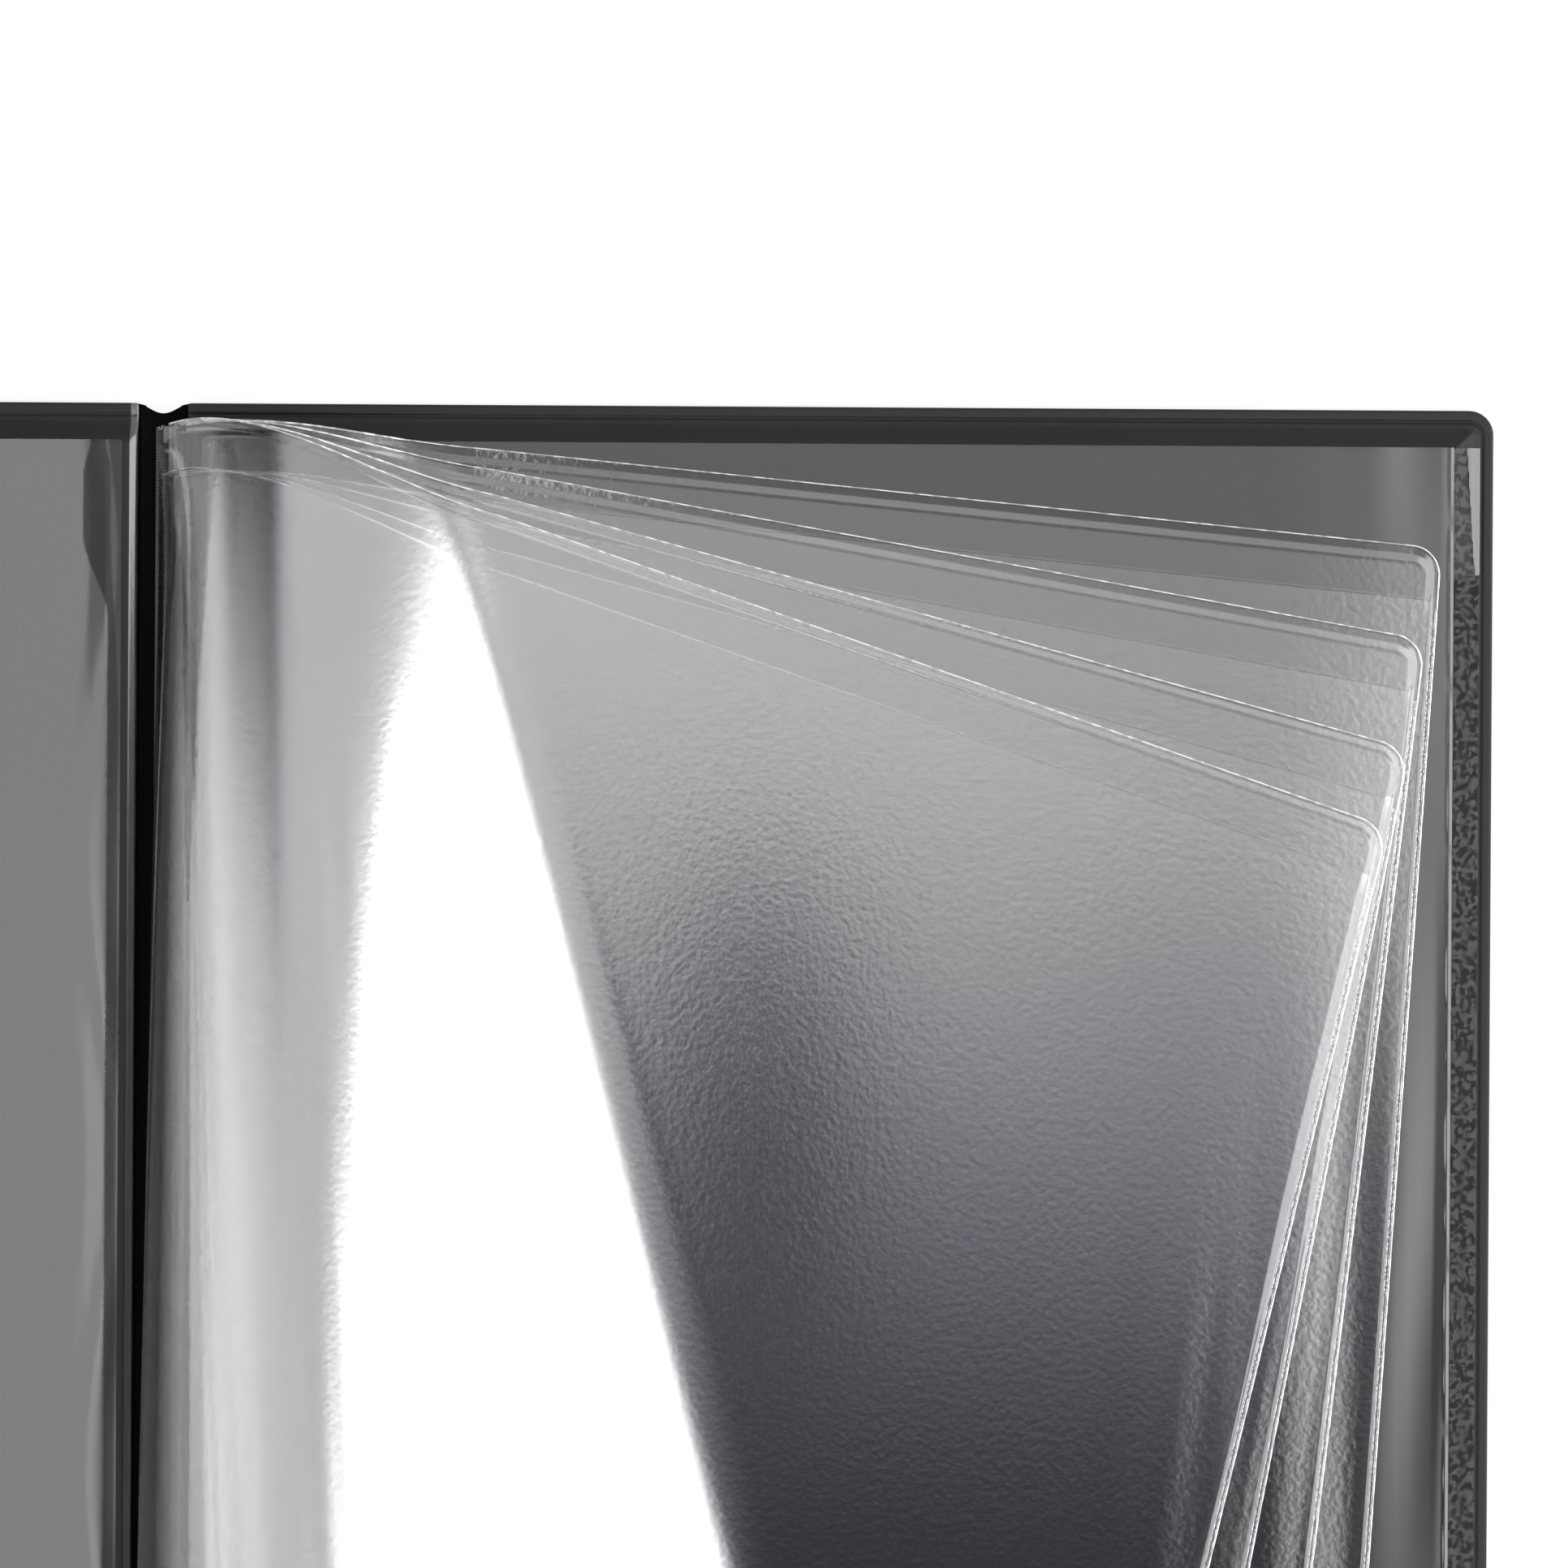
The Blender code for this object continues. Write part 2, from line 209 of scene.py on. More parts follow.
def makeVinyl(name, dark, light, roughness, gloss, grainScale, grainDepth, coat=0.0):
    # vinyl, or board: grain in the height, slow clouds in the colour and the roughness
    material, nodes, links, shader = newMaterial(name)
    shader.inputs["Specular IOR Level"].default_value = gloss
    shader.inputs["Coat Weight"].default_value = coat
    shader.inputs["Coat Roughness"].default_value = grainLook["coatRoughness"]
    grain = nodes.new("ShaderNodeGroup")
    grain.node_tree = vinylGrain
    grain.inputs["Scale"].default_value = grainScale
    tone = nodes.new("ShaderNodeMix")
    tone.data_type = "RGBA"
    tone.inputs["A"].default_value = (*dark, 1)
    tone.inputs["B"].default_value = (*light, 1)
    links.new(grain.outputs["Shade"], tone.inputs["Factor"])
    links.new(tone.outputs["Result"], shader.inputs["Base Color"])
    spread = grainLook["cloudRoughness"]
    dulling = mapRange(nodes, links, grain.outputs["Shade"], *grainLook["cloudSpan"],
                       roughness - spread, roughness + spread)
    links.new(dulling, shader.inputs["Roughness"])
    relief = nodes.new("ShaderNodeBump")
    relief.inputs["Strength"].default_value = 1.0
    relief.inputs["Distance"].default_value = grainDepth
    links.new(grain.outputs["Height"], relief.inputs["Height"])
    links.new(relief.outputs["Normal"], shader.inputs["Normal"])
    return material


vinylLook = {
    "skin": {"dark": (0.007, 0.007, 0.008), "light": (0.011, 0.011, 0.012),
             "roughness": 0.42, "gloss": 0.45, "grainScale": 1500.0, "grainDepth": 0.00005},
    "lining": {"dark": (0.004, 0.004, 0.004), "light": (0.010, 0.0095, 0.0095),
               "roughness": 0.5, "gloss": 0.34, "grainScale": 1800.0, "grainDepth": 0.00002},
    "clung": {"dark": (0.004, 0.004, 0.004), "light": (0.010, 0.0095, 0.0095),
              "roughness": 0.5, "gloss": 0.15, "grainScale": 1800.0, "grainDepth": 0.00004},
    # glossy edge strip: real coat and gloss, with a colour painted lighter than the lining as a painted sheen
    "edge": {"dark": (0.03, 0.03, 0.03), "light": (0.055, 0.055, 0.055), "coat": 0.9,
             "roughness": 0.3, "gloss": 0.95, "grainScale": 1800.0, "grainDepth": 0.00003},
    # spine vinyl: black, painted darker and duller than the lining, a painted shade for the deep groove
    "spine": {"dark": (0.001, 0.001, 0.001), "light": (0.003, 0.003, 0.003),
              "roughness": 0.62, "gloss": 0.03, "grainScale": 1500.0, "grainDepth": 0.00004},
    "board": {"dark": (0.16, 0.15, 0.14), "light": (0.26, 0.25, 0.23),
              "roughness": 0.85, "gloss": 0.2, "grainScale": 2500.0, "grainDepth": 0.00003},
    "root": {"dark": (0.022, 0.02, 0.018), "light": (0.045, 0.041, 0.037),
             "roughness": 0.35, "gloss": 0.5, "grainScale": 2200.0, "grainDepth": 0.00002},
}
skinVinyl = makeVinyl("blackSkinVinyl", **vinylLook["skin"])
liningVinyl = makeVinyl("blackLiningVinyl", **vinylLook["lining"])
clungVinyl = makeVinyl("clungLiningVinyl", **vinylLook["clung"])
sheenEdgeVinyl = makeVinyl("edgeVinylPaintedSheen", **vinylLook["edge"])
spinePaintedShadeVinyl = makeVinyl("spinePaintedShadeVinyl", **vinylLook["spine"])
greyBoard = makeVinyl("greyBoard", **vinylLook["board"])
rootVinyl = makeVinyl("rootWeldVinyl", **vinylLook["root"])

filmLook = {
    "ior": 1.53, "roughness": 0.04, "speckleScale": 900.0, "speckleDepth": 0.00002, "tint": (1.0, 0.99, 1.0),
}
weldLook = {
    "crushed": {"roughness": 0.35, "clear": 0.12, "solid": 0.5, "scale": 2600.0, "depth": 0.00006},
    "pressed": {"roughness": 0.32, "clear": 0.0, "solid": 0.02, "scale": 900.0, "depth": 0.00002},
    "cut": {"roughness": 0.4, "clear": 0.4, "solid": 0.9, "scale": 500.0, "depth": 0.00002},
}


def newFilm(name, roughness):
    # a film is a tinted mirror, and its alpha says how much of the mirror shows
    material, nodes, links, shader = newMaterial(name)
    shader.inputs["Base Color"].default_value = (*filmLook["tint"], 1)
    shader.inputs["Metallic"].default_value = 1.0
    shader.inputs["Roughness"].default_value = roughness
    return material, nodes, links, shader


def addSpeckle(nodes, links, scale, depth):
    # noise on the film's own coordinates as a shallow relief
    place = nodes.new("ShaderNodeTexCoord")
    speckle = nodes.new("ShaderNodeTexNoise")
    speckle.inputs["Scale"].default_value = scale
    speckle.inputs["Detail"].default_value = 1.0
    relief = nodes.new("ShaderNodeBump")
    relief.inputs["Distance"].default_value = depth
    links.new(place.outputs["Object"], speckle.inputs["Vector"])
    links.new(speckle.outputs[0], relief.inputs["Height"])
    return speckle.outputs[0], relief.outputs["Normal"]


def addSlabMirror(nodes, links):
    # a thin clear slab mirrors 2F/(1+F) of the light and lets the rest through
    mirror = nodes.new("ShaderNodeFresnel")
    mirror.inputs["IOR"].default_value = filmLook["ior"]
    double = addMath(nodes, links, "MULTIPLY", mirror.outputs[0], 2.0)
    return addMath(nodes, links, "DIVIDE", double, addMath(nodes, links, "ADD", mirror.outputs[0], 1.0))


def makeClearFilm(name):
    # clear film: the slab's mirror with a fine speckle
    material, nodes, links, shader = newFilm(name, filmLook["roughness"])
    normal = addSpeckle(nodes, links, filmLook["speckleScale"], filmLook["speckleDepth"])[1]
    links.new(normal, shader.inputs["Normal"])
    links.new(addSlabMirror(nodes, links), shader.inputs["Alpha"])
    return material


def makeWeldedFilm(name, roughness, clear, solid, scale, depth):
    # film crushed or pressed down by the welding bar: rough, with a patchy share of mirror
    material, nodes, links, shader = newFilm(name, roughness)
    height, normal = addSpeckle(nodes, links, scale, depth)
    links.new(normal, shader.inputs["Normal"])
    links.new(mapRange(nodes, links, height, 0.4, 0.6, clear, solid), shader.inputs["Alpha"])
    return material


# where the pocket clings to the lining: a band along the spine's side, between a near and a far distance from
# the film's edge; each is its least and its widenings, a widening is by how much, from y and to y, all in mm
cling = {
    "edge": 6.95 * mm, "near": (0.4, (1.5, 105, 140), (1.0, 147, 154)),
    "far": (2.7, (4.4, 122, 137), (-1.5, 147, 155)), "share": 0.16, "nearShare": 0.45,
    "soft": 0.25 * mm, "jitter": 0.8 * mm, "grainScale": 2500.0,
}


def makePocketFilm(name):
    # clear film of which only a share of the mirror is left where it clings
    material, nodes, links, shader = newFilm(name, filmLook["roughness"])
    place = nodes.new("ShaderNodeTexCoord")
    split = nodes.new("ShaderNodeSeparateXYZ")
    links.new(place.outputs["Object"], split.inputs[0])
    x, y = split.outputs[:2]
    away = addMath(nodes, links, "SUBTRACT", addMath(nodes, links, "ABSOLUTE", x), cling["edge"])
    grain = nodes.new("ShaderNodeTexNoise")
    grain.inputs["Scale"].default_value = cling["grainScale"]
    links.new(place.outputs["Object"], grain.inputs["Vector"])
    rough = addMath(nodes, links, "MULTIPLY_ADD", grain.outputs[0], cling["jitter"], away)
    masks = []
    for distance, (least, *widenings) in ((away, cling["near"]), (rough, cling["far"])):
        limit = least * mm
        for wider, low, high in widenings:
            part = mapRange(nodes, links, y, low * mm, high * mm, 0.0, wider * mm)
            limit = addMath(nodes, links, "ADD", part, limit)
        past = addMath(nodes, links, "SUBTRACT", distance, limit)
        masks.append(mapRange(nodes, links, past, -cling["soft"], cling["soft"], 0.0, 1.0))
    change = cling["share"] - cling["nearShare"]
    near = addMath(nodes, links, "MULTIPLY_ADD", masks[0], change, cling["nearShare"])
    rest = addMath(nodes, links, "SUBTRACT", 1.0, near)
    share = addMath(nodes, links, "MULTIPLY_ADD", masks[1], rest, near)
    links.new(addMath(nodes, links, "MULTIPLY", addSlabMirror(nodes, links), share), shader.inputs["Alpha"])
    return material


clearFilm = makeClearFilm("clearFilm")
pocketFilm = makePocketFilm("pocketFilm")
crushedWeld = makeWeldedFilm("crushedWeld", **weldLook["crushed"])
pressedFilm = makeWeldedFilm("pressedFilm", **weldLook["pressed"])
cutEdge = makeWeldedFilm("cutEdge", **weldLook["cut"])
print("materials ready")

# layers of a cover panel, as in the solids; rim is a stretch of mesh lines (from, to, spacing)
cover = {
    "height": 320.0 * mm, "start": 4.2 * mm, "end": 233.0 * mm,
    "outerRadius": 4.3 * mm, "innerRadius": 0.7 * mm,
    "rimTop": 1.5 * mm, "plateauTop": 3.3 * mm, "slopeStart": 2.5 * mm, "slopeEnd": 7.4 * mm,
    "innerSlope": 1.9 * mm, "innerCorner": 0.4 * mm, "innerTilt": 0.65 * mm, "paintedSheenStrip": 1.6 * mm,
    "grooveAt": 2.05 * mm, "grooveWidth": 0.28 * mm, "grooveDepth": 0.35 * mm,
    "edgeRound": 0.5 * mm, "edgeDrop": 0.4 * mm, "liningThickness": 0.65 * mm,
    "skinRound": 0.4 * mm, "skinDrop": 0.35 * mm, "skinGroove": 0.22 * mm, "skinThickness": 0.8 * mm,
    "rim": ((0, 9.0 * mm, 0.18 * mm),), "openSpacing": 4 * mm,
}
# the clear pocket on a panel; waver is (height, length in mm, phase) of the waves along its ridge
pocketShape = {
    "inset": 2.35 * mm, "inner": 2.75 * mm, "top": 153.4 * mm, "lift": 0.16 * mm, "slopeShift": 0.25 * mm,
    "crease": 7.2 * mm, "pressedFrom": 22.0 * mm, "looseBand": 4.7 * mm, "looseSlant": 0.07,
    "ridge": 0.09 * mm, "ridgeAt": 0.5 * mm, "ridgeWidth": 0.3 * mm,
    "waver": ((0.3, 2.3, 0), (0.3, 5.1, 2), (0.2, 0.9, 0)),
    "sway": 0.06 * mm, "swayLength": 2.4 * mm, "swayFrom": (7.5 * mm, 10 * mm), "swayTo": (14 * mm, 34 * mm),
    "innerSway": 0.08 * mm, "innerLength": 3.1 * mm, "innerTo": (2 * mm, 9 * mm),
    "spineRim": ((0, 3 * mm, 0.5 * mm),), "topRim": ((0, 1.2 * mm, 0.2 * mm),),
    "weldedRim": ((0, 8.0 * mm, 0.2 * mm),), "openSpacing": (2 * mm, 1.5 * mm),
}


def quarterRound(distance, reach):
    # quarter circle from 0 at the edge to 1 at its reach
    return np.sqrt(np.clip(1 - (1 - np.clip(distance / reach, 0, 1)) ** 2, 0, 1))


def halfCosine(share):
    # half a cosine wave from 0 to 1
    return (1 - np.cos(np.pi * np.clip(share, 0, 1))) / 2


def liningHeight(outer, inner):
    # from the outer edges inwards: rounded lip, flat rim, weld groove, half-cosine rise, flat plateau;
    # on the spine's side a rounded corner and a short half-cosine tilt
    lip = -cover["edgeDrop"] * (1 - quarterRound(np.minimum(outer, inner), cover["edgeRound"]))
    groove = -cover["grooveDepth"] * bump(outer, cover["grooveAt"], cover["grooveWidth"])
    full, drop = cover["plateauTop"] - cover["rimTop"], cover["innerTilt"]
    rise = full * halfCosine((outer - cover["slopeStart"]) / (cover["slopeEnd"] - cover["slopeStart"]))
    corner = (full - drop) * quarterRound(inner, cover["innerCorner"])
    rise = np.minimum(rise, corner + drop * halfCosine(inner / cover["innerSlope"]))
    return cover["rimTop"] + lip + groove * smooth(0, 1 * mm, inner) + rise


def panelGrid():
    # a and b are the distances from the spine's side and from the top, x and y the same with rounded corners
    width, height = cover["end"] - cover["start"], cover["height"]
    inner, outer = cover["innerRadius"], cover["outerRadius"]
    rim, spacing = cover["rim"], cover["openSpacing"]
    a, b = np.meshgrid(edgedSteps(width, rim, spacing, rim), edgedSteps(height, rim, spacing, rim))
    x, y = roundCorner(a, b, inner)
    x, y = roundCorner(width - x, y, outer)
    x, y = roundCorner(width - x, height - y, inner)
    x, y = roundCorner(width - x, y, outer)
    return a, b, width - x, height - y


def makeLining(name, mirror):
    # inner lining: the rounded panel lifted to the lining's height; the front cover has a glossy strip along
    # the spine with its colour painted lighter, a painted sheen, and the vinyl is duller where the pocket is
    # pressed onto it
    width, height = cover["end"] - cover["start"], cover["height"]
    a, b, x, y = panelGrid()
    outer = np.minimum(width - a, np.minimum(b, height - b))
    y = height / 2 - y
    points = np.stack([mirror * (cover["start"] + x), y, liningHeight(outer, a)], axis=-1)
    thing = addObject(name, points, gridFaces(*a.shape, mirror), liningVinyl)
    if mirror < 0:
        # painted sheen: the lighter strip goes on the front cover only, the side that faces the light
        paint(thing, sheenEdgeVinyl, a < cover["paintedSheenStrip"])
    pressed = np.minimum(width - a, height - b) < pocketShape["crease"]
    under = (outer > pocketShape["inset"]) & (y < pocketShape["top"] - pocketShape["pressedFrom"])
    paint(thing, clungVinyl, pressed & under)
    addWall(thing, cover["liningThickness"])
    return thing


def makeSkin(name, mirror):
    # outer skin seen from below: flat, with a rounded edge and the shallow line of the weld
    width, height = cover["end"] - cover["start"], cover["height"]
    a, b, x, y = panelGrid()
    edge = np.minimum(np.minimum(a, width - a), np.minimum(b, height - b))
    lift = cover["skinDrop"] * (1 - quarterRound(edge, cover["skinRound"]))
    lift = lift + cover["skinGroove"] * bump(edge, cover["grooveAt"], cover["grooveWidth"])
    points = np.stack([mirror * (cover["start"] + x), height / 2 - y, lift], axis=-1)
    thing = addObject(name, points, gridFaces(*a.shape, -mirror), skinVinyl)
    addWall(thing, cover["skinThickness"])
    return thing


def makePocket(name, mirror):
    # clear pocket: follows the lining a hair above it, open along its straight top edge; it is pressed down
    # along the outer slope, and a wavering ridge marks where it leaves the plateau
    shape, inset = pocketShape, pocketShape["inset"]
    left, right = cover["start"] + shape["inner"], cover["end"] - inset
    top, bottom = shape["top"], -cover["height"] / 2 + inset
    width, height = right - left, top - bottom
    across = edgedSteps(width, shape["spineRim"], shape["openSpacing"][0], shape["weldedRim"])
    along = edgedSteps(height, shape["topRim"], shape["openSpacing"][1], shape["weldedRim"])
    a, b = np.meshgrid(across, along)
    edge = np.minimum(width - a, height - b) + inset
    c, down = roundCorner(width - a, height - b, cover["outerRadius"] - inset + 1 * mm)
    x, y = width - c, bottom + down
    waver = 0.5 + sum(high * np.sin(y / (length * mm) + phase) for high, length, phase in shape["waver"])
    ridge = shape["ridge"] * bump(edge, shape["crease"] + shape["ridgeAt"], shape["ridgeWidth"])
    sway = shape["sway"] * np.sin(edge / shape["swayLength"] + np.sin(y / (31 * mm)))
    sway = sway * smooth(*shape["swayFrom"], edge)
    sway = sway * (1 - smooth(*shape["swayTo"], edge)) * (0.5 + 0.5 * np.sin(y / (29 * mm) + 1.2))
    innerSway = shape["innerSway"] * np.sin(a / shape["innerLength"] + 1.2 * np.sin(y / (17 * mm)))
    sway = sway + innerSway * (1 - smooth(*shape["innerTo"], a))
    z = liningHeight(edge + shape["slopeShift"], a + shape["inner"]) + shape["lift"]
    z = z + ridge * np.clip(waver, 0, 1) + sway
    points = np.stack([mirror * (left + x), y, z], axis=-1)
    thing = addObject(name, points, gridFaces(*a.shape, mirror), pocketFilm)
    loose = shape["looseBand"] - (top - y) * shape["looseSlant"]
    paint(thing, pressedFilm, (edge < shape["crease"]) & ((edge > loose) | (top - y > shape["pressedFrom"])))
    return thing


for panel, mirror in (("back_cover", 1), ("front_cover", -1)):
    lining = makeLining(panel + "_liningSheet", mirror)
    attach(lining, panel)
    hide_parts(panel + "_lining")
    skin = makeSkin(panel + "_skinSheet", mirror)
    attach(skin, panel)
    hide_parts(panel + "_outer_skin")
    pocket = makePocket(panel + "_pocketSheet", mirror)
    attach(pocket, panel)
    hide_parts(panel + "_pocket_film")
    board = bpy.data.objects[panel + "_board"]
    board.data.materials.clear()
    board.data.materials.append(greyBoard)
print("covers built")

# spine: grooved lining, outer skin and the thin fold that runs under both panels' edges
spine = {
    "half": 3.9 * mm, "notch": 1.75 * mm, "notchHalf": 5.0 * mm, "endGap": 0.05 * mm,
    "floor": 1.1 * mm, "shoulder": 0.35 * mm, "liningThickness": 0.15 * mm,
    "skinEdge": 0.3 * mm, "skinThickness": 0.7 * mm,
    "foldHalf": 5.0 * mm, "foldHeight": 0.95 * mm, "foldThickness": 0.2 * mm,
}


def makeSpineSheet(name, half, height, thickness, material, facing):
    # strip across the spine: its height follows the share across, from -1 to 1; a cosine notch at both ends
    share, along = np.meshgrid(np.linspace(-1, 1, 41), np.linspace(1, -1, 81))
    dip = spine["notch"] * (1 + np.cos(np.pi * np.clip(share * half / spine["notchHalf"], -1, 1))) / 2
    end = cover["height"] / 2 - dip - spine["endGap"]
    points = np.stack([share * half, along * end, height(share)], axis=-1)
    thing = addObject(name, points, gridFaces(*share.shape, facing), material)
    addWall(thing, thickness)
    return thing


def grooveFloor(share):
    # flat floor that turns up at both sides, by the fourth power
    return spine["floor"] + spine["shoulder"] * share ** 4


def spineOutside(share):
    # flat, with both sides rounded up
    return spine["skinEdge"] * smooth(0.8, 1.0, np.abs(share))


def foldLevel(share):
    return np.full_like(share, spine["foldHeight"])


# the groove's lining and the fold take the vinyl painted darker, painted shade in the groove
spineLining = makeSpineSheet("spine_liningSheet", spine["half"], grooveFloor,
                             spine["liningThickness"], spinePaintedShadeVinyl, 1)
spineSkin = makeSpineSheet("spine_skinSheet", spine["half"], spineOutside,
                           spine["skinThickness"], skinVinyl, -1)
spineFold = makeSpineSheet("spine_foldSheet", spine["foldHalf"], foldLevel,
                           spine["foldThickness"], spinePaintedShadeVinyl, 1)
for piece in (spineLining, spineSkin, spineFold):
    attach(piece, "spine")
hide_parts("spine_lining")
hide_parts("spine_outer_skin")
print("spine built")

# root weld: the strip that joins the sleeves' inner edges, ribbed by the welding bar
rootWeld = {
    "left": -1.15 * mm, "right": 2.55 * mm, "under": 1.9 * mm, "top": 2.3 * mm, "high": 155.7 * mm,
    "low": -155.3 * mm, "rib": 0.1 * mm, "pitch": 0.54 * mm, "lowShare": 0.35, "ribbedTo": 1.2 * mm,
    "strongFrom": (40 * mm, 140 * mm), "leftSoft": 0.25 * mm, "rightSoft": 0.3 * mm,
}


def makeRootWeld(name):
    # ribs as a rectified sine down the strip, strong at the top and fading, only on the spine's side
    left, right, ribbedTo = rootWeld["left"], rootWeld["right"], rootWeld["ribbedTo"]
    across = np.concatenate([[0.0], np.linspace(0, 1, 9), [1.0]])
    share, y = np.meshgrid(across, np.arange(rootWeld["high"], rootWeld["low"], -rootWeld["pitch"] / 6))
    x = left + share * (right - left)
    strength = rootWeld["lowShare"] + (1 - rootWeld["lowShare"]) * smooth(*rootWeld["strongFrom"], y)
    ribbed = 1 - smooth(ribbedTo - rootWeld["rightSoft"], ribbedTo, x)
    ribbed = ribbed * smooth(0, rootWeld["leftSoft"], x - left)
    z = rootWeld["top"] + rootWeld["rib"] * strength * ribbed * np.abs(np.sin(np.pi * y / rootWeld["pitch"]))
    z[:, 0] = z[:, -1] = rootWeld["under"]
    return addObject(name, np.stack([x, y, z], axis=-1), gridFaces(*x.shape), rootVinyl)


weldStrip = makeRootWeld("binding_ribbedWeld")
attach(weldStrip, "binding")
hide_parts("binding_strip")
print("root weld built")

# sleeves: clear films fanned over the back panel, from the lowest to the top one
sleeve = {
    "swing": (5.6, 10.0, 15.2, 19.0), "lean": (3.75, 6.6, 10.7, 13.3),
    "width": (223.6 * mm, 224.0 * mm, 226.5 * mm, 228.1 * mm), "height": 311.0 * mm, "radius": 5.0 * mm,
    "rootPitch": 0.9 * mm, "rootShift": 0.7 * mm, "rootTop": 155.7 * mm, "rootHeight": 2.7 * mm,
    "leafHeight": 4.5 * mm, "leafPitch": 1.8 * mm, "filmPitch": 0.5 * mm,
    "frontDrop": 9.0 * mm, "frontStart": 2.0 * mm, "frontInset": 1.05 * mm,
    "fanReach": 11.6 * mm, "fanRise": 0.8 * mm, "slack": 0.9 * mm, "slackStep": 0.27 * mm,
    "landing": 54.0 * mm, "landingStep": 3.0 * mm, "growth": 0.29, "growthStep": 0.0165,
    "bulge": 1.9 * mm, "bulgeAt": 85.0 * mm, "bulgeEnd": (180 * mm, 300 * mm),
    "slide": (2.0 * mm, 2.8 * mm, 3.7 * mm, 4.6 * mm),
    "waveLength": (17.0 * mm, 20.0 * mm, 15.0 * mm, 18.0 * mm),
    "waveDepth": (0.06 * mm, 0.075 * mm, 0.055 * mm, 0.0), "wavePhase": (0.3, 2.4, 4.0, 0.0),
    "waveTurn": 60 * mm, "waveFrom": (0, 4 * mm), "waveTo": (22 * mm, 40 * mm),
    "waveBelow": (50 * mm, 130 * mm),
    "shoulder": (0.4 * mm, 0.7 * mm, 1.7 * mm, 1.8 * mm), "shoulderLow": 0.4 * mm,
    "shoulderFade": (60 * mm, 115 * mm), "shoulderFoot": 0.2, "rootShare": 0.6, "fullPitch": 20 * mm,
    "lip": 0.05 * mm, "lipAt": (0.12 * mm, 0.15 * mm), "lipCut": (0.15 * mm, 30.0 * mm),
    "hemFade": (2 * mm, 9 * mm), "hemEnd": 0.6 * mm, "cornerBlend": 2 * mm,
    "weldFrom": (0.2 * mm, 0.3 * mm), "weldTo": (0.9 * mm, 1.0 * mm),
    "weldLine": (0.6 * mm, 0.13 * mm), "cutWidth": 0.24 * mm, "rootCut": 0.1 * mm,
    "rootCutFade": (15 * mm, 75 * mm),
}
legendre, legendreShare = np.polynomial.legendre.leggauss(40)
legendre, legendreShare = (legendre + 1) / 2, legendreShare / 2


def hump(share):
    # rises from 0 to 1 at one third and runs out flat at the end
    return 6.75 * share * (1 - share) ** 2


def bowAngle(share, start, crest):
    # slope of the bow along its length: steep at the root, zero at the crest, back to zero on the page
    return start * (1 - share) ** 2 * (1 + 2 * share) * (1 - (share / crest) ** 2)


def bowMeans(share, start, crest):
    # mean cosine and sine of the slope between the root and a share of the length
    angle = bowAngle(share[..., None] * legendre, start[..., None], crest[..., None])
    return (np.cos(angle) * legendreShare).sum(-1), (np.sin(angle) * legendreShare).sum(-1)


def solveBow(reach, rise):
    # start slope and crest that make the bow span the reach and the rise, by nested halving
    whole = np.ones_like(reach)

    def crestFor(start):
        low, high = np.full_like(reach, 0.05), np.full_like(reach, 6.0)
        for _ in range(34):
            middle = (low + high) / 2
            up = bowMeans(whole, start, middle)[1] > rise
            low, high = np.where(up, low, middle), np.where(up, middle, high)
        return (low + high) / 2

    low, high = np.full_like(reach, 0.01), np.full_like(reach, 3.0)
    for _ in range(34):
        middle = (low + high) / 2
        long = bowMeans(whole, middle, crestFor(middle))[0] > reach
        low, high = np.where(long, middle, low), np.where(long, high, middle)
    start = (low + high) / 2
    return start, crestFor(start)


